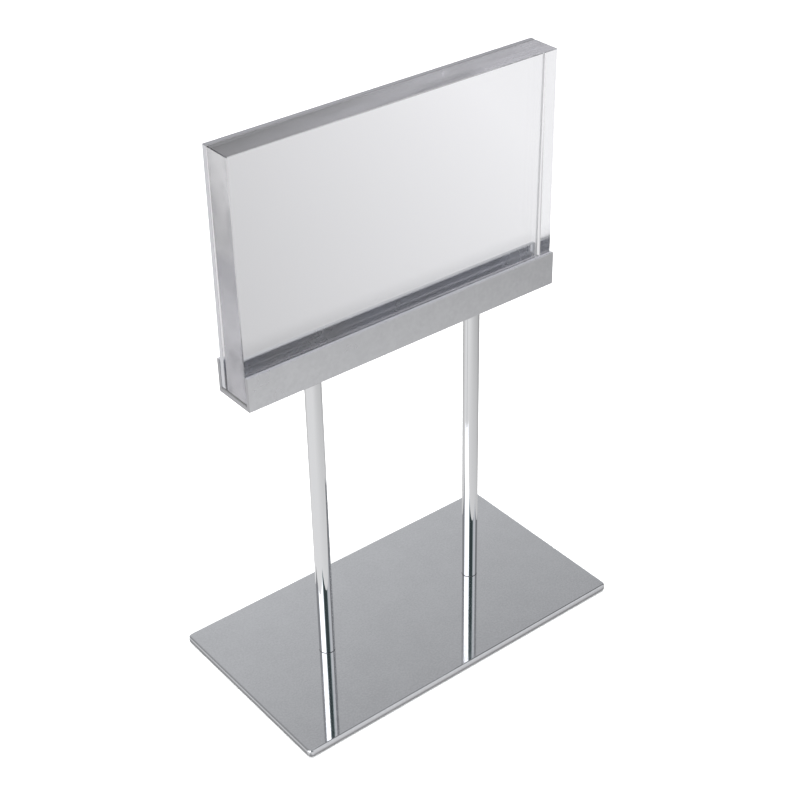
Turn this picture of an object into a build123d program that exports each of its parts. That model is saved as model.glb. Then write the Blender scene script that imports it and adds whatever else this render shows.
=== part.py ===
from build123d import *
import os

# Twin-stem counter sign stand: a thin plate base, two round stems, and an open-ended U-channel
# that holds a thick clear block with a thin clear panel behind it. The sign slides in between them.
# Origin: centre of the footprint, on the surface that the pads stand on. +X runs along the sign
# and -Y is the side it is read from.

# Driving sizes, in millimetres
base_length = 166.0
base_depth = 92.0
base_thickness = 3.2
base_corner_radius = 2.0
base_edge_round = 0.8
pad_diameter = 12.0
pad_thickness = 0.8
pad_inset = 11.0

stem_diameter = 7.0
stem_wall = 1.0
stem_length = 143.0
stem_spacing = 81.0
stem_edge_chamfer = 0.25
plug_length = 14.0

block_length = 152.4
block_thickness = 12.7
block_height = 100.0
block_edge_chamfer = 0.3
panel_thickness = 2.4
panel_edge_chamfer = 0.2
spacer_height = 7.0

channel_wall = 1.8
channel_height = 14.8
channel_inner_depth = 16.8
channel_outer_edge_round = 0.5
channel_lip_round = 0.3
liner_thickness = 0.8
liner_width = 16.4

slide_clearance = 0.15
slot_gap_at_top = 0.25

# Countersunk machine screws: shank, head and drive socket
base_screw_shank = 4.0
base_screw_head = 7.6
base_screw_length = 12.0
channel_screw_shank = 3.0
channel_screw_head = 5.6
channel_screw_length = 9.0
screw_hole_clearance = 0.4
head_rim = 0.25
socket_share_of_shank = 0.6
tip_share_of_shank = 0.12
socket_depth = 1.1

# Levels and places that follow from the sizes
base_bottom_z = pad_thickness
base_top_z = base_bottom_z + base_thickness
channel_bottom_z = base_top_z + stem_length
channel_floor_z = channel_bottom_z + channel_wall
liner_top_z = channel_floor_z + liner_thickness
channel_outer_depth = channel_inner_depth + 2 * channel_wall
channel_length = block_length
acrylic_bottom_z = liner_top_z + slide_clearance
block_front_y = -channel_inner_depth / 2 + slide_clearance
block_back_y = block_front_y + block_thickness
panel_back_y = channel_inner_depth / 2 - slide_clearance
panel_front_y = panel_back_y - panel_thickness
panel_lean = panel_front_y - block_back_y - slot_gap_at_top
stem_bore = stem_diameter - 2 * stem_wall
sides = {"left": -stem_spacing / 2, "right": stem_spacing / 2}
standing = (Align.CENTER, Align.CENTER, Align.MIN)


def cylinder(diameter, height, x=0.0, y=0.0):
    return Pos(x, y, 0) * Cylinder(diameter / 2, height, align=standing)


def slab(length, depth, height, z=0.0):
    return Pos(0, 0, z) * Box(length, depth, height, align=standing)


def cone(low_diameter, high_diameter, z):
    """A 90 degree cone that narrows upwards from height z."""
    height = (low_diameter - high_diameter) / 2
    return Pos(0, 0, z) * Cone(low_diameter / 2, high_diameter / 2, height, align=standing)


def screw_head(shank, head):
    """The head of a countersunk screw, face down at z = 0, with its shank side up."""
    return cylinder(head, head_rim) + cone(head, shank, head_rim)


def countersunk_screw(shank, head, length):
    """A countersunk screw standing on its head, with a six-sided drive socket."""
    body = screw_head(shank, head) + cylinder(shank, length)
    body = chamfer(body.edges().group_by(Axis.Z)[-1], shank * tip_share_of_shank)
    socket = extrude(RegularPolygon(shank * socket_share_of_shank / 2, 6), socket_depth)
    return body - socket


def screw_cut(shank, head, depth):
    """What a countersunk screw removes from a sheet of the given depth, head side down."""
    return screw_head(shank, head) + cylinder(shank + screw_hole_clearance, depth)


def base_plate():
    plate = extrude(RectangleRounded(base_length, base_depth, base_corner_radius), base_thickness)
    rims = plate.edges().group_by(Axis.Z)
    plate = fillet(rims[-1] + rims[0], base_edge_round)
    for x in sides.values():
        plate -= Pos(x, 0, 0) * screw_cut(base_screw_shank, base_screw_head, base_thickness)
    return Pos(0, 0, base_bottom_z) * plate


def foot_pad(x_side, y_side):
    x = x_side * (base_length / 2 - pad_inset)
    y = y_side * (base_depth / 2 - pad_inset)
    pad = cylinder(pad_diameter, pad_thickness, x, y)
    return fillet(pad.edges().group_by(Axis.Z)[0], pad_thickness / 4)


def stem(x):
    rod = cylinder(stem_diameter, stem_length)
    rod = chamfer(rod.edges().filter_by(GeomType.CIRCLE), stem_edge_chamfer)
    return Pos(x, 0, base_top_z) * (rod - cylinder(stem_bore, stem_length))


def stem_plug(x, z, thread_diameter):
    """A threaded plug pressed into one end of a stem."""
    plug = cylinder(stem_bore, plug_length) - cylinder(thread_diameter, plug_length)
    return Pos(x, 0, z) * plug


def base_screw(x):
    screw = countersunk_screw(base_screw_shank, base_screw_head, base_screw_length)
    return Pos(x, 0, base_bottom_z) * screw


def channel():
    """A U-section, open at both ends, with its two screw holes countersunk from inside."""
    outer = slab(channel_length, channel_outer_depth, channel_height)
    outer = fillet(outer.edges().filter_by(Axis.X).group_by(Axis.Z)[0], channel_outer_edge_round)
    body = outer - slab(channel_length, channel_inner_depth, channel_height, channel_wall)
    body = fillet(body.edges().filter_by(Axis.X).group_by(Axis.Z)[-1], channel_lip_round)
    for x in sides.values():
        hole = screw_cut(channel_screw_shank, channel_screw_head, channel_wall)
        body -= Pos(x, 0, channel_wall) * Rot(180, 0, 0) * hole
    return Pos(0, 0, channel_bottom_z) * body


def channel_screw(x):
    screw = countersunk_screw(channel_screw_shank, channel_screw_head, channel_screw_length)
    return Pos(x, 0, channel_floor_z) * Rot(180, 0, 0) * screw


def channel_liner():
    """A soft strip on the channel floor that carries the acrylic and covers the screw heads."""
    return slab(channel_length, liner_width, liner_thickness, channel_floor_z)


def acrylic_block():
    block = slab(block_length, block_thickness, block_height)
    block = chamfer(block.edges(), block_edge_chamfer)
    return Pos(0, block_front_y + block_thickness / 2, acrylic_bottom_z) * block


def back_panel():
    """A thin sheet that leans on the block at the top and stands off it at the bottom."""
    low_z = acrylic_bottom_z
    high_z = acrylic_bottom_z + block_height
    section = Polyline(
        (panel_front_y, low_z),
        (panel_back_y, low_z),
        (panel_back_y - panel_lean, high_z),
        (panel_front_y - panel_lean, high_z),
        close=True,
    )
    sheet = extrude(Plane.YZ * make_face(section), block_length / 2, both=True)
    return chamfer(sheet.edges(), panel_edge_chamfer)


def slot_spacer():
    """A strip bonded to the foot of the panel, which keeps the sign slot open."""
    low_z = acrylic_bottom_z + panel_edge_chamfer
    high_z = low_z + spacer_height
    lean_per_mm = panel_lean / block_height
    low_y = panel_front_y - lean_per_mm * (low_z - acrylic_bottom_z)
    high_y = panel_front_y - lean_per_mm * (high_z - acrylic_bottom_z)
    front_y = block_back_y + slide_clearance
    section = Polyline((front_y, low_z), (low_y, low_z), (high_y, high_z), (front_y, high_z), close=True)
    strip_length = block_length - 2 * panel_edge_chamfer
    return extrude(Plane.YZ * make_face(section), strip_length / 2, both=True)


def all_parts():
    parts = {
        "base_plate": base_plate(),
        "channel": channel(),
        "channel_liner": channel_liner(),
        "acrylic_block": acrylic_block(),
        "back_panel": back_panel(),
        "slot_spacer": slot_spacer(),
    }
    for x_name, x_side in (("left", -1), ("right", 1)):
        for y_name, y_side in (("front", -1), ("rear", 1)):
            parts[f"foot_pad_{y_name}_{x_name}"] = foot_pad(x_side, y_side)
    for name, x in sides.items():
        parts[f"stem_{name}"] = stem(x)
        parts[f"stem_lower_plug_{name}"] = stem_plug(x, base_top_z, base_screw_shank)
        parts[f"stem_upper_plug_{name}"] = stem_plug(x, channel_bottom_z - plug_length, channel_screw_shank)
        parts[f"base_screw_{name}"] = base_screw(x)
        parts[f"channel_screw_{name}"] = channel_screw(x)
    return parts


os.makedirs("parts", exist_ok=True)
for node, shape in all_parts().items():
    export_step(shape, f"parts/{node}.step")
    print(f"{node}: {shape.volume:.1f} mm3")
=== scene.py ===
import math
import bpy
import bmesh
from mathutils import Matrix, Vector


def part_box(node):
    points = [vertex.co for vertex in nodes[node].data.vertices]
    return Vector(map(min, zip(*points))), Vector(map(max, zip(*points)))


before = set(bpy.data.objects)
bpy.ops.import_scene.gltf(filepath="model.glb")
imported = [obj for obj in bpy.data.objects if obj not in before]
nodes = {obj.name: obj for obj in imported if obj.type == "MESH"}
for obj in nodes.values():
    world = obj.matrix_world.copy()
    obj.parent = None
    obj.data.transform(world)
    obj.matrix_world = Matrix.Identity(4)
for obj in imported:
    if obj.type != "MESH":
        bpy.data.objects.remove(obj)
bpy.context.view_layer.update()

print("frame loaded:", len(nodes), "nodes")

xAxis = (1, 0, 0)
yAxis = (0, 1, 0)
zAxis = (0, 0, 1)


# ---- shader maths written as expressions ----

class Wire:
    def __init__(self, tree, socket=None):
        self.tree = tree
        self.socket = socket

    def node(self, kind, settings=None, **values):
        made = self.tree.nodes.new(kind)
        for name, value in (settings or {}).items():
            setattr(made, name, value)
        for key, value in values.items():
            numbered = key[0] == "i" and key[1:].isdigit()  # i2 is the third input
            slot = made.inputs[int(key[1:]) if numbered else key.replace("_", " ")]
            if isinstance(value, Wire):
                self.tree.links.new(value.socket, slot)
            else:
                slot.default_value = value
        return made

    def take(self, made, output=0):
        return Wire(self.tree, made.outputs[output])

    def maths(self, operation, *values):
        named = {"i%d" % place: value for place, value in enumerate(values)}
        return self.take(self.node("ShaderNodeMath", {"operation": operation}, **named))

    def __add__(self, other):
        return self.maths("ADD", self, other)

    __radd__ = __add__

    def __sub__(self, other):
        return self.maths("SUBTRACT", self, other)

    def __rsub__(self, other):
        return self.maths("SUBTRACT", other, self)

    def __mul__(self, other):
        return self.maths("MULTIPLY", self, other)

    __rmul__ = __mul__

    def size(self):
        return self.maths("ABSOLUTE", self)

    def clamp(self, low, high):
        return self.maths("MINIMUM", self.maths("MAXIMUM", self, low), high)

    def smooth(self, low, high):  # 0 below low, 1 above high
        settings = {"interpolation_type": "SMOOTHSTEP"}
        return self.take(self.node("ShaderNodeMapRange", settings, Value=self, From_Min=low, From_Max=high))

    def band(self, low, high, soft):  # 1 between low and high
        return self.smooth(low - soft, low + soft) * (1 - self.smooth(high - soft, high + soft))

    def toward(self, goal, share):
        return self + (goal - self) * share

    def dot(self, direction):
        made = self.node("ShaderNodeVectorMath", {"operation": "DOT_PRODUCT"}, i0=self, i1=direction)
        return self.take(made, "Value")

    def length(self):
        return self.take(self.node("ShaderNodeVectorMath", {"operation": "LENGTH"}, i0=self), "Value")

    def tint(self, low, high):  # this mask picks between two colours
        return self.take(self.node("ShaderNodeMix", {"data_type": "RGBA"}, i0=self, i6=low, i7=high), 2)


def rgb(colour, share=1.0):
    return (*[part * share for part in colour], 1.0)


def blankMaterial(name):
    material = bpy.data.materials.new(name)
    material.use_nodes = True
    material.node_tree.nodes.clear()
    return material, Wire(material.node_tree)


def finish(material, shader):
    tree = material.node_tree
    out = tree.nodes.new("ShaderNodeOutputMaterial")
    tree.links.new(shader.socket, out.inputs[0])
    return material


def coordinates(start, output):
    return start.take(start.node("ShaderNodeTexCoord"), output)


def noise(start, place, scale, detail=2.0, stretch=(1, 1, 1)):
    mapped = start.take(start.node("ShaderNodeMapping", Vector=place, Scale=stretch))
    made = start.node("ShaderNodeTexNoise", Vector=mapped, Scale=scale, Detail=detail)
    return start.take(made, "Fac")


def bump(start, height, strength, distance):
    return start.take(start.node("ShaderNodeBump", Strength=strength, Distance=distance, Height=height))


def principled(start, **values):
    return start.take(start.node("ShaderNodeBsdfPrincipled", **values))


def mixShader(start, share, low, high):
    return start.take(start.node("ShaderNodeMixShader", i0=share, i1=low, i2=high))


def faces(start, direction):  # the faces that look along a direction, either way
    return coordinates(start, "Normal").dot(direction).size().smooth(0.6, 0.9)


# ---- base plate: polished, with a faint cloud ----

plateLook = {"colour": (0.70, 0.71, 0.735), "darkest": 0.95, "lightest": 1.05, "roughness": 0.035,
             "haze": 0.03, "hazeScale": 38.0, "fineScale": 1300.0, "fineShare": 0.7, "cloudScale": 90.0,
             "bumpScale": 900.0, "bump": 0.02, "bumpDepth": 0.0001}


def platePolish():
    material, start = blankMaterial("platePolish")
    place = coordinates(start, "Object")
    haze = noise(start, place, plateLook["hazeScale"], 3.0)
    roughness = plateLook["roughness"] + haze.smooth(0.35, 0.75) * plateLook["haze"]
    grain = noise(start, place, plateLook["bumpScale"])
    cloud = noise(start, place, plateLook["fineScale"], 3.0) * plateLook["fineShare"]
    cloud = cloud + noise(start, place, plateLook["cloudScale"], 3.0) * (1 - plateLook["fineShare"])
    colour = cloud.smooth(0.3, 0.7).tint(rgb(plateLook["colour"], plateLook["darkest"]),
                                         rgb(plateLook["colour"], plateLook["lightest"]))
    return finish(material, principled(start, Base_Color=colour, Metallic=1.0, Roughness=roughness,
                                       Normal=bump(start, grain, plateLook["bump"],
                                                   plateLook["bumpDepth"])))


# ---- stems: chrome, with painted shade at the foot where they meet the plate ----

stemLook = {"colour": (0.80, 0.805, 0.82), "roughness": 0.03, "haze": 0.03, "hazeScale": 120.0,
            "stemFootShade": 0.0003, "stemFootShadeColour": (0.25, 0.25, 0.26), "stemFootShadeRoughness": 0.4}


def stemChrome():
    material, start = blankMaterial("stemChrome")
    place = coordinates(start, "Object")
    haze = noise(start, place, stemLook["hazeScale"], 2.0, (1, 1, 0.1))
    height = place.dot(zAxis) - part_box("stem_left")[0][2]
    # painted shade: a dark band at the bottom of each stem, where it meets the plate
    stemFootShade = 1 - height.smooth(stemLook["stemFootShade"] * 0.8, stemLook["stemFootShade"])
    roughness = stemLook["roughness"] + haze.smooth(0.4, 0.8) * stemLook["haze"]
    roughness = roughness + stemFootShade * stemLook["stemFootShadeRoughness"]
    colour = stemFootShade.tint(rgb(stemLook["colour"]), rgb(stemLook["stemFootShadeColour"]))
    return finish(material, principled(start, Base_Color=colour, Metallic=1.0, Roughness=roughness))


# ---- channel: satin metal, drawn lengthwise, duller inside and at its cut ends ----

channelLook = {"colour": (0.77, 0.775, 0.80), "darkest": 0.96, "lightest": 1.01, "cut": (0.5, 0.5, 0.52),
               "insideCool": (0.71, 0.735, 0.79), "insideWarm": (0.76, 0.735, 0.68), "stainScale": 32.0,
               "roughness": 0.2, "haze": 0.08, "hazeScale": 60.0, "fineScale": 620.0, "cloudScale": 160.0,
               "fineShare": 0.6, "grainScale": 700.0, "alongGrain": (0.03, 1, 1), "bump": 0.05,
               "bumpDepth": 0.0002, "insideSoft": (0.0003, 0.0002)}


def channelSatin():
    material, start = blankMaterial("channelSatin")
    place = coordinates(start, "Object")
    grain = noise(start, place, channelLook["grainScale"], 3.0, channelLook["alongGrain"])
    haze = noise(start, place, channelLook["hazeScale"], 3.0)
    roughness = channelLook["roughness"] + haze.smooth(0.3, 0.7) * channelLook["haze"]
    patch = noise(start, place, channelLook["fineScale"], 3.0) * channelLook["fineShare"]
    patch = patch + noise(start, place, channelLook["cloudScale"], 3.0) * (1 - channelLook["fineShare"])
    colour = patch.smooth(0.35, 0.65).tint(rgb(channelLook["colour"], channelLook["darkest"]),
                                           rgb(channelLook["colour"], channelLook["lightest"]))
    low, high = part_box("channel_liner")
    softAcross, softUp = channelLook["insideSoft"]
    inside = 1 - place.dot(yAxis).size().smooth(high[1], high[1] + softAcross)
    inside = inside * place.dot(zAxis).smooth(low[2], low[2] + softUp)
    stain = noise(start, place, channelLook["stainScale"], 2.0, (1, 0.3, 0.3)).smooth(0.4, 0.6)
    stain = stain.tint(rgb(channelLook["insideCool"]), rgb(channelLook["insideWarm"]))
    colour = faces(start, xAxis).tint(inside.tint(colour, stain), rgb(channelLook["cut"]))
    return finish(material, principled(start, Base_Color=colour, Metallic=1.0, Roughness=roughness,
                                       Normal=bump(start, grain, channelLook["bump"],
                                                   channelLook["bumpDepth"])))


# ---- acrylic block and slot spacer: clear, with painted shade on the mottled ends, the top edge and the back rim, and a faint haze on the top edge that carries painted light and painted reflection lines ----

acrylicLook = {"colour": (0.985, 0.99, 0.995), "paintedShadeColour": (0.0, 0.0, 0.02), "ior": 1.49,
               "edgeRoughness": 0.03, "endRoughness": 0.15, "rippleScale": 260.0, "mottleScale": 110.0,
               "bump": 0.05, "bumpDepth": 0.0002, "endShadeBase": 0.04, "mottleShade": 0.22,
               "foot": (0.170, 0.182), "endFootShade": 0.36, "middle": (0.186, 0.212, 0.006), "middleClear": 0.9,
               "head": (0.212, 0.232), "endHeadShade": 0.2, "topShade": 0.4, "topLightToRight": 0.25,
               "rimShade": 0.45, "shadedRim": 0.0004}
topHazeAndLightLook = {"colour": (0.235, 0.232, 0.252), "roughness": 0.5, "paintedLightRamp": (-0.1, 0.07), "paintedLightShare": 0.3,
            "streakScale": 700.0, "alongStreak": (0.03, 1, 1), "streak": (0.03, 0.08), "cloudScale": 70.0,
            "cloud": (0.02, 0.1), "frontEdge": (-0.0035, -0.001), "askew": (0.79, -0.61, 0), "paintedReflectionLines": 0.16,
            "firstLine": (0.0196, 0.0210, 0.0006), "secondLine": (0.0362, 0.0370, 0.0004),
            "clearPatch": (0.010, 0.031, 0.003), "patchClear": 0.7, "corner": (0.034, 0.038),
            "cornerShare": 0.1}


def clearGlassy(start, **values):
    made = start.node("ShaderNodeBsdfPrincipled", Metallic=0.0, **values)
    made.inputs["IOR"].default_value = acrylicLook["ior"]
    made.inputs["Transmission Weight"].default_value = 1.0
    return start.take(made)


def blockPaintedLightRamp(place):  # painted light: the top edge gets lighter from left to right
    return place.dot(xAxis).smooth(*topHazeAndLightLook["paintedLightRamp"])


def blockHazeAndPaintedLight(start, place, top):
    streak = noise(start, place, topHazeAndLightLook["streakScale"], 3.0, topHazeAndLightLook["alongStreak"]).smooth(0.35, 0.7)
    cloud = noise(start, place, topHazeAndLightLook["cloudScale"], 3.0, (0.6, 1, 1)).smooth(0.35, 0.65)
    front = 1 - place.dot(yAxis).smooth(*topHazeAndLightLook["frontEdge"])
    slant = place.dot(topHazeAndLightLook["askew"])  # the painted reflection lines cross the edge askew
    paintedReflectionLines = slant.band(*topHazeAndLightLook["firstLine"]) + slant.band(*topHazeAndLightLook["secondLine"]) * 0.5
    # a clearer, darker patch near the front: painted shade
    patch = slant.band(*topHazeAndLightLook["clearPatch"]) * front
    paintedLightRamp = blockPaintedLightRamp(place)
    # random streaks and cloud of haze, strengthened to the right by the painted light ramp
    hazeAndPaintedLight = paintedLightRamp * topHazeAndLightLook["paintedLightShare"]
    for pattern, (least, more) in ((streak, topHazeAndLightLook["streak"]), (cloud, topHazeAndLightLook["cloud"])):
        hazeAndPaintedLight = hazeAndPaintedLight + pattern * (least + paintedLightRamp * more)
    # painted light near the front right corner
    hazeAndPaintedLight = hazeAndPaintedLight + front * slant.smooth(*topHazeAndLightLook["corner"]) * topHazeAndLightLook["cornerShare"]
    return top * (hazeAndPaintedLight * (1 - patch * topHazeAndLightLook["patchClear"]) + paintedReflectionLines * topHazeAndLightLook["paintedReflectionLines"])


def blockPaintedShade(start, place, ends, top):
    height = place.dot(zAxis)
    # painted shade on the end faces: a mottled darkening, heavier at the foot beside the channel and at the
    # head, kept clear in a middle band
    mottle = noise(start, place, acrylicLook["mottleScale"], 3.0, (1, 1, 0.7)).smooth(0.42, 0.62)
    foot = 1 - height.smooth(*acrylicLook["foot"])
    clearMiddle = 1 - height.band(*acrylicLook["middle"]) * acrylicLook["middleClear"]
    endShade = acrylicLook["endShadeBase"] + mottle * acrylicLook["mottleShade"] * clearMiddle
    endShade = endShade + foot * acrylicLook["endFootShade"] + height.smooth(*acrylicLook["head"]) * acrylicLook["endHeadShade"]
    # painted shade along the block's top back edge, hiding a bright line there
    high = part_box("acrylic_block")[1]
    wide, narrow = acrylicLook["shadedRim"], acrylicLook["shadedRim"] * 0.75
    shadedRim = place.dot(yAxis).smooth(high[1] - wide, high[1] - narrow)
    shadedRim = shadedRim * height.smooth(high[2] - wide, high[2] - narrow)
    # painted shade on the top face, lifted towards the right as painted light
    topShade = acrylicLook["topShade"] - blockPaintedLightRamp(place) * acrylicLook["topLightToRight"]
    return ends * endShade + top * topShade + shadedRim * acrylicLook["rimShade"]


def clearAcrylic():
    material, start = blankMaterial("clearAcrylic")
    place = coordinates(start, "Object")
    edge = 1 - faces(start, yAxis)
    ends = faces(start, xAxis)
    top = coordinates(start, "Normal").dot(zAxis).smooth(0.6, 0.9)
    roughness = edge * acrylicLook["edgeRoughness"] + ends * acrylicLook["endRoughness"]
    ripple = noise(start, place, acrylicLook["rippleScale"], 2.0, (1, 0.15, 1))
    colour = blockPaintedShade(start, place, ends, top).tint(rgb(acrylicLook["colour"]), rgb(acrylicLook["paintedShadeColour"]))
    clear = clearGlassy(start, Base_Color=colour, Roughness=roughness,
                        Normal=bump(start, ripple * edge, acrylicLook["bump"], acrylicLook["bumpDepth"]))
    haze = principled(start, Base_Color=rgb(topHazeAndLightLook["colour"]), Roughness=topHazeAndLightLook["roughness"])
    return finish(material, mixShader(start, blockHazeAndPaintedLight(start, place, top), clear, haze))


# ---- back panel: a clear sheet with sawn edges, the sawn ends and top edge with painted shade and painted light, and painted shade along its top rim ----

sheetLook = {"leftEdgeShade": (0.3, 0.3, 0.315), "rightEdgeLight": (0.8, 0.8, 0.81), "topEdgeShade": (0.12, 0.12, 0.13),
             "paintedLightRamp": (-0.05, 0.05), "edgeRoughness": 0.35, "sawScale": 900.0, "saw": 0.1, "sawDepth": 0.0001,
             "shadedRim": (0.3, 0.3, 0.31), "rimHeight": 0.001}


def clearPanel():
    material, start = blankMaterial("clearPanel")
    place = coordinates(start, "Object")
    edge = 1 - faces(start, yAxis)
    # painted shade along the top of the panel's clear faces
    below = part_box("back_panel")[1][2] - sheetLook["rimHeight"]
    shadedRim = place.dot(zAxis).smooth(below, below + sheetLook["rimHeight"] * 0.2)
    clear = clearGlassy(start, Roughness=0.0, Base_Color=shadedRim.tint(rgb(acrylicLook["colour"]),
                                                                  rgb(sheetLook["shadedRim"])))
    saw = noise(start, place, sheetLook["sawScale"], 2.0, (1, 1, 0.2))
    # painted shade and light on the sawn edges: darker left end, lighter right end, darkest top edge
    top = coordinates(start, "Normal").dot(zAxis).smooth(0.2, 0.6)
    paintedLightRamp = place.dot(xAxis).smooth(*sheetLook["paintedLightRamp"])
    colour = paintedLightRamp.tint(rgb(sheetLook["leftEdgeShade"]), rgb(sheetLook["rightEdgeLight"]))
    sawn = principled(start, Base_Color=top.tint(colour, rgb(sheetLook["topEdgeShade"])),
                      Roughness=sheetLook["edgeRoughness"],
                      Normal=bump(start, saw, sheetLook["saw"], sheetLook["sawDepth"]))
    return finish(material, mixShader(start, edge, clear, sawn))


# ---- liner, pads and screws ----

linerLook = {"low": (0.04, 0.039, 0.04), "high": (0.085, 0.083, 0.084), "cut": (0.13, 0.13, 0.135),
             "roughness": 0.9, "grainScale": 1400.0}


def foamLiner():
    material, start = blankMaterial("foamLiner")
    grain = noise(start, coordinates(start, "Object"), linerLook["grainScale"], 3.0)
    colour = grain.tint(rgb(linerLook["low"]), rgb(linerLook["high"]))
    colour = faces(start, xAxis).tint(colour, rgb(linerLook["cut"]))
    return finish(material, principled(start, Base_Color=colour, Roughness=linerLook["roughness"],
                                       Normal=bump(start, grain, 0.4, 0.0003)))


padLook = {"low": (0.012, 0.012, 0.013), "high": (0.03, 0.03, 0.032), "roughness": 0.75,
           "grainScale": 1800.0}


def padRubber():
    material, start = blankMaterial("padRubber")
    grain = noise(start, coordinates(start, "Object"), padLook["grainScale"])
    colour = grain.tint(rgb(padLook["low"]), rgb(padLook["high"]))
    return finish(material, principled(start, Base_Color=colour, Roughness=padLook["roughness"],
                                       Normal=bump(start, grain, 0.3, 0.0002)))


screwLook = {"low": (0.42, 0.43, 0.45), "high": (0.62, 0.62, 0.63), "roughness": 0.28, "haze": 0.15,
             "grainScale": 900.0}


def zincSteel():
    material, start = blankMaterial("zincSteel")
    grain = noise(start, coordinates(start, "Object"), screwLook["grainScale"], 3.0)
    colour = grain.tint(rgb(screwLook["low"]), rgb(screwLook["high"]))
    roughness = screwLook["roughness"] + grain * screwLook["haze"]
    return finish(material, principled(start, Base_Color=colour, Metallic=1.0, Roughness=roughness,
                                       Normal=bump(start, grain, 0.1, 0.0001)))


def dress(material, *starts):
    for name, piece in nodes.items():
        if name.startswith(starts):
            piece.data.materials.clear()
            piece.data.materials.append(material)


dress(platePolish(), "base_plate")
dress(stemChrome(), "stem_left", "stem_right")
dress(channelSatin(), "channel")  # the liner and the screws get their own below
dress(zincSteel(), "stem_lower", "stem_upper", "base_screw", "channel_screw")
dress(foamLiner(), "channel_liner")
dress(padRubber(), "foot_pad")
dress(clearAcrylic(), "acrylic_block", "slot_spacer")
dress(clearPanel(), "back_panel")
for clearPiece in ("acrylic_block", "back_panel", "slot_spacer"):
    nodes[clearPiece].visible_shadow = False
print("finishes set")


# ---- camera ----

viewpoint = {"azimuth": -37.88, "elevation": 33.35, "roll": -1.14, "distance": 0.66755,
             "target": (0.00225, 0.0, 0.11478), "lens": 73.22, "sensor": 36.0, "nearest": 0.01}
azimuth = math.radians(viewpoint["azimuth"])
toCamera = Vector((math.sin(azimuth), -math.cos(azimuth), 0))
toRight = Vector((math.cos(azimuth), math.sin(azimuth), 0))


def makeCamera():
    lift = math.radians(viewpoint["elevation"])
    roll = math.radians(viewpoint["roll"])
    back = toCamera * math.cos(lift) + Vector((0, 0, math.sin(lift)))
    side = toRight * math.cos(roll) + back.cross(toRight) * math.sin(roll)
    turn = Matrix((side, back.cross(side), back)).transposed().to_4x4()
    data = bpy.data.cameras.new("camera")
    data.lens = viewpoint["lens"]
    data.sensor_width = viewpoint["sensor"]
    data.clip_start = viewpoint["nearest"]
    camera = bpy.data.objects.new("camera", data)
    place = Vector(viewpoint["target"]) + back * viewpoint["distance"]
    camera.matrix_world = Matrix.Translation(place) @ turn
    bpy.context.scene.collection.objects.link(camera)
    bpy.context.scene.camera = camera


makeCamera()
print("camera placed")


# ---- floor: plain to the eye; to reflections and through the acrylic it glows with painted tones, with a painted shadow under the plate in the reflections ----

backdropTone = {"sky": 0.95, "far": 0.82, "front": 0.84}
floorLook = {"side": 8.0, "paint": (0.9, 0.9, 0.9), "roughness": 0.9, "sweep": (0.7, 2.4)}
mirrorLook = {"tone": 0.79, "slope": 0.8, "range": (0.34, 0.84), "behind": 0.66, "fade": (-0.16, 0.02),
              "contact": 0.0018, "contactSoft": 0.0008, "contactDim": 0.6}
throughLook = {"colour": (0.995, 0.985, 1.0), "slope": (1.249, -0.413, 0), "tone": 0.596,
               "range": (0.56, 0.94), "darkTone": 0.58, "darkSide": (1.0, -0.778, 0), "darkFrom": (0.07, 0.085),
               "darkUntil": (0.19, 0.215), "lightTone": 0.98, "lightSide": (1.0, -0.605, 0),
               "lightUntil": (-0.093, -0.073), "frontUntil": (-0.16, -0.06), "farFrom": (0.75, 1.5)}


def glow(start, tone, full=(1.0, 1.0, 1.0)):
    colour = tone.tint(rgb((0, 0, 0)), rgb(full)) if isinstance(tone, Wire) else rgb(full, tone)
    return start.take(start.node("ShaderNodeEmission", Color=colour))


def paintedReflectionTone(place):  # painted reflection: the glow the plate and the stems reflect, with a painted shadow under the plate
    tone = mirrorLook["tone"] - place.dot(tuple(toRight)) * mirrorLook["slope"]
    near = place.dot(tuple(toCamera)).smooth(*mirrorLook["fade"])
    tone = tone.clamp(*mirrorLook["range"]) * (mirrorLook["behind"] + near * (1 - mirrorLook["behind"]))
    low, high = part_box("base_plate")
    # painted shadow: the reflected glow is dimmed under and just around the plate
    spread, soft = mirrorLook["contact"], mirrorLook["contactSoft"]
    shade = place.dot(xAxis).band(low[0] - spread, high[0] + spread, soft)
    shade = shade * place.dot(yAxis).band(low[1] - spread, high[1] + spread, soft)
    return tone * (1 - shade * mirrorLook["contactDim"])


def paintedThroughTone(place, distance):  # painted tones: the glow that shows through the acrylic, with darker and lighter zones
    across = place.dot(yAxis)
    tone = (place.dot(throughLook["slope"]) + throughLook["tone"]).clamp(*throughLook["range"])
    dark = place.dot(throughLook["darkSide"]).smooth(*throughLook["darkFrom"])
    dark = dark * (1 - across.smooth(*throughLook["darkUntil"]))
    light = 1 - place.dot(throughLook["lightSide"]).smooth(*throughLook["lightUntil"])
    tone = tone.toward(throughLook["darkTone"], dark).toward(throughLook["lightTone"], light)
    tone = tone.toward(backdropTone["front"], 1 - across.smooth(*throughLook["frontUntil"]))
    return tone.toward(backdropTone["far"], distance.smooth(*throughLook["farFrom"]))


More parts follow.
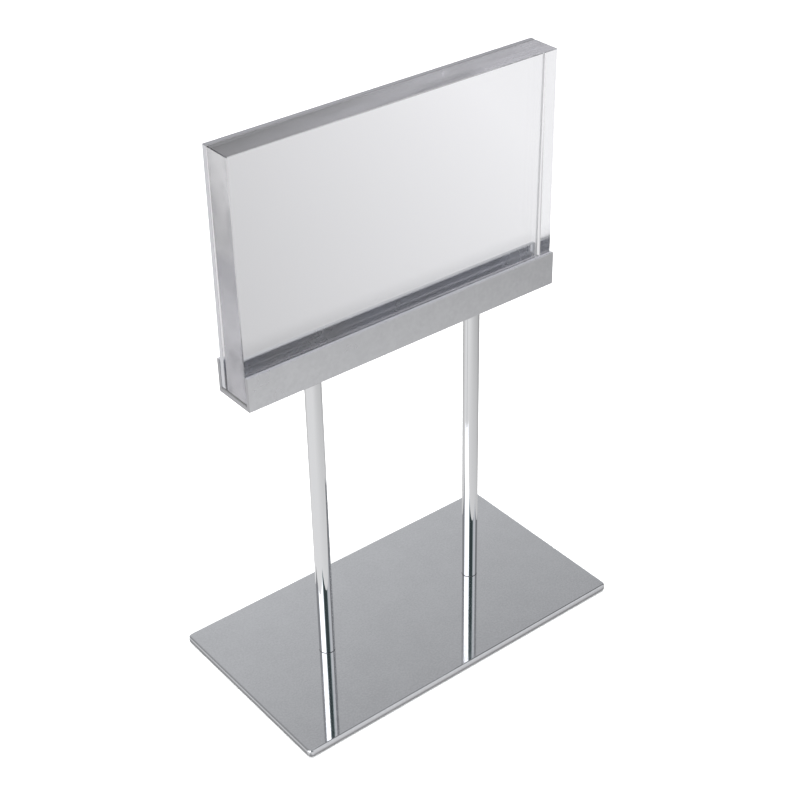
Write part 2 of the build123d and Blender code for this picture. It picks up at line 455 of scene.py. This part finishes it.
def makeFloor():
    made = bmesh.new()
    bmesh.ops.create_grid(made, x_segments=1, y_segments=1, size=floorLook["side"] / 2)
    mesh = bpy.data.meshes.new("floor")
    made.to_mesh(mesh)
    made.free()
    floor = bpy.data.objects.new("floor", mesh)
    bpy.context.scene.collection.objects.link(floor)
    material, start = blankMaterial("paleFloor")
    place = coordinates(start, "Object")
    distance = place.length()
    paint = start.node("ShaderNodeBsdfPrincipled", Base_Color=rgb(floorLook["paint"]),
                       Roughness=floorLook["roughness"])
    paint.inputs["Specular IOR Level"].default_value = 0.0
    farGlow = glow(start, backdropTone["sky"])
    floorShader = mixShader(start, distance.smooth(*floorLook["sweep"]), start.take(paint), farGlow)
    path = start.node("ShaderNodeLightPath")
    # to reflections the floor glows with painted reflection tones
    floorShader = mixShader(start, start.take(path, "Is Glossy Ray"), floorShader,
                            glow(start, paintedReflectionTone(place)))
    # through the acrylic the floor glows with painted tones
    through = glow(start, paintedThroughTone(place, distance), throughLook["colour"])
    floorShader = mixShader(start, start.take(path, "Is Transmission Ray"), floorShader, through)
    mesh.materials.append(finish(material, floorShader))


# ---- sky: soft panels for the metal, and a plain pale backdrop to the eye ----

skyLook = {"tone": 0.58, "colour": (0.985, 0.99, 1.0), "high": (0.36, 0.5), "highDip": 0.5,
           "highDipPlace": (-4, 46, 5), "teal": (0.75, 1.0, 1.0), "tealPlace": (-8, 50, 6),
           "back": (120, 150), "backDip": 0.02, "backSlope": 0.76, "backRange": (-0.1, 0.3),
           "backRise": 1.71, "backMiddle": 0.65, "backSpan": (-0.15, 0.15),
           "throughDip": 0.2, "throughUpper": (0.2, 0.5), "throughHigh": (1.0, 0.985, 1.04)}
skyPanels = [(-78, -12, 4, 1.9), (-140, -84, 8, -0.2), (56, 92, 8, 0.25), (96, 135, 8, -0.3)]  # degrees, tone


def makeSky():
    world = bpy.data.worlds.new("studioSky")
    bpy.context.scene.world = world
    world.use_nodes = True
    tree = world.node_tree
    tree.nodes.clear()
    start = Wire(tree)
    ray = coordinates(start, "Generated")
    right = ray.dot(tuple(toRight))
    turn = start.maths("ARCTAN2", right, ray.dot(tuple(toCamera))) * (180 / math.pi)
    height = ray.dot(zAxis)
    high = height.smooth(*skyLook["high"])
    back = turn.size().smooth(*skyLook["back"])
    tone = skyLook["tone"] - turn.band(*skyLook["highDipPlace"]) * high * skyLook["highDip"]
    for fromTurn, toTurn, soft, change in skyPanels:
        tone = tone + turn.band(fromTurn, toTurn, soft) * change
    lean = right.clamp(*skyLook["backRange"]) * skyLook["backSlope"]
    lean = lean + (height - skyLook["backMiddle"]).clamp(*skyLook["backSpan"]) * skyLook["backRise"]
    tone = tone - back * (skyLook["backDip"] + lean)
    teal = turn.band(*skyLook["tealPlace"]) * high
    colour = teal.tint(rgb(skyLook["colour"]), rgb(skyLook["teal"]))
    path = start.node("ShaderNodeLightPath")
    clear = start.take(path, "Is Transmission Ray")
    upper = height.smooth(*skyLook["throughUpper"])
    tone = tone.toward(backdropTone["far"] - upper * skyLook["throughDip"], clear)
    colour = clear.tint(colour, upper.tint(rgb((1, 1, 1)), rgb(skyLook["throughHigh"])))
    seen = start.take(path, "Is Camera Ray")
    tone = tone.toward(backdropTone["sky"], seen)
    colour = seen.tint(colour, rgb((1, 1, 1)))
    backdrop = start.node("ShaderNodeBackground", Color=colour, Strength=tone)
    out = tree.nodes.new("ShaderNodeOutputWorld")
    tree.links.new(backdrop.outputs[0], out.inputs[0])


# ---- lamp ----

lampLook = {"place": (-0.2, -0.2, 1.6), "side": 2.2, "power": 60.0}


def makeLamp():
    data = bpy.data.lights.new("overhead", "AREA")
    data.shape = "SQUARE"
    data.size = lampLook["side"]
    data.energy = lampLook["power"]
    lamp = bpy.data.objects.new("overhead", data)
    lamp.location = lampLook["place"]
    lamp.visible_glossy = False
    lamp.visible_transmission = False
    bpy.context.scene.collection.objects.link(lamp)


makeFloor()
makeSky()
makeLamp()
bpy.context.scene.view_settings.view_transform = "Standard"
light = bpy.context.scene.cycles
light.max_bounces = 24  # light crosses several acrylic faces and bounces between the metal parts
light.glossy_bounces = 20
light.transmission_bounces = 20
print("studio set")
